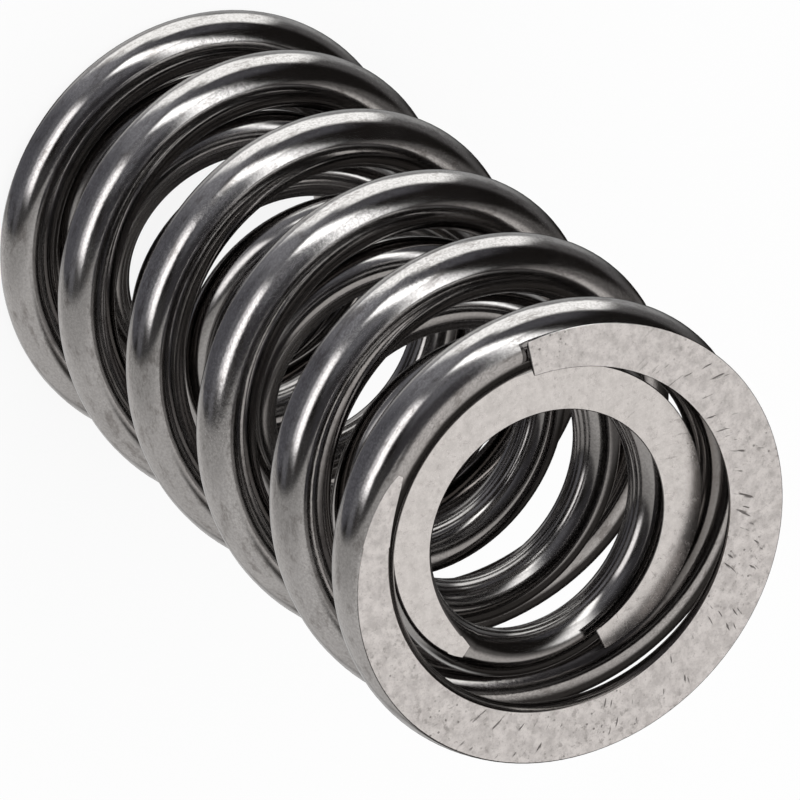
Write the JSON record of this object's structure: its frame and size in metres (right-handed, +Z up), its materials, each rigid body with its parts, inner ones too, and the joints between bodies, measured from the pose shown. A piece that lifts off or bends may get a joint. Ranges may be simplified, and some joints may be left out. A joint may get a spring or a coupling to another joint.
{
  "type": "engine valve spring",
  "caption": "Nested pair of steel coil springs with closed, ground ends that pulls an engine's poppet valve shut.",
  "frame": {"origin": "centre of the lower ground face, on the coil axis", "axes": "+Z up along the coil axis towards the retainer end, where the inner spring is stepped down; +X through the upper tip of the outer wire"},
  "size_m": [0.0332, 0.0332, 0.062],
  "materials": {
    "outer_wire": "polished dark spring steel, ends ground flat and bright",
    "inner_wire": "polished dark spring steel, ends ground flat and bright"
  },
  "bodies": {
    "root": {"outer_spring": "outer_wire", "inner_spring": "inner_wire"}
  },
  "joints": []
}
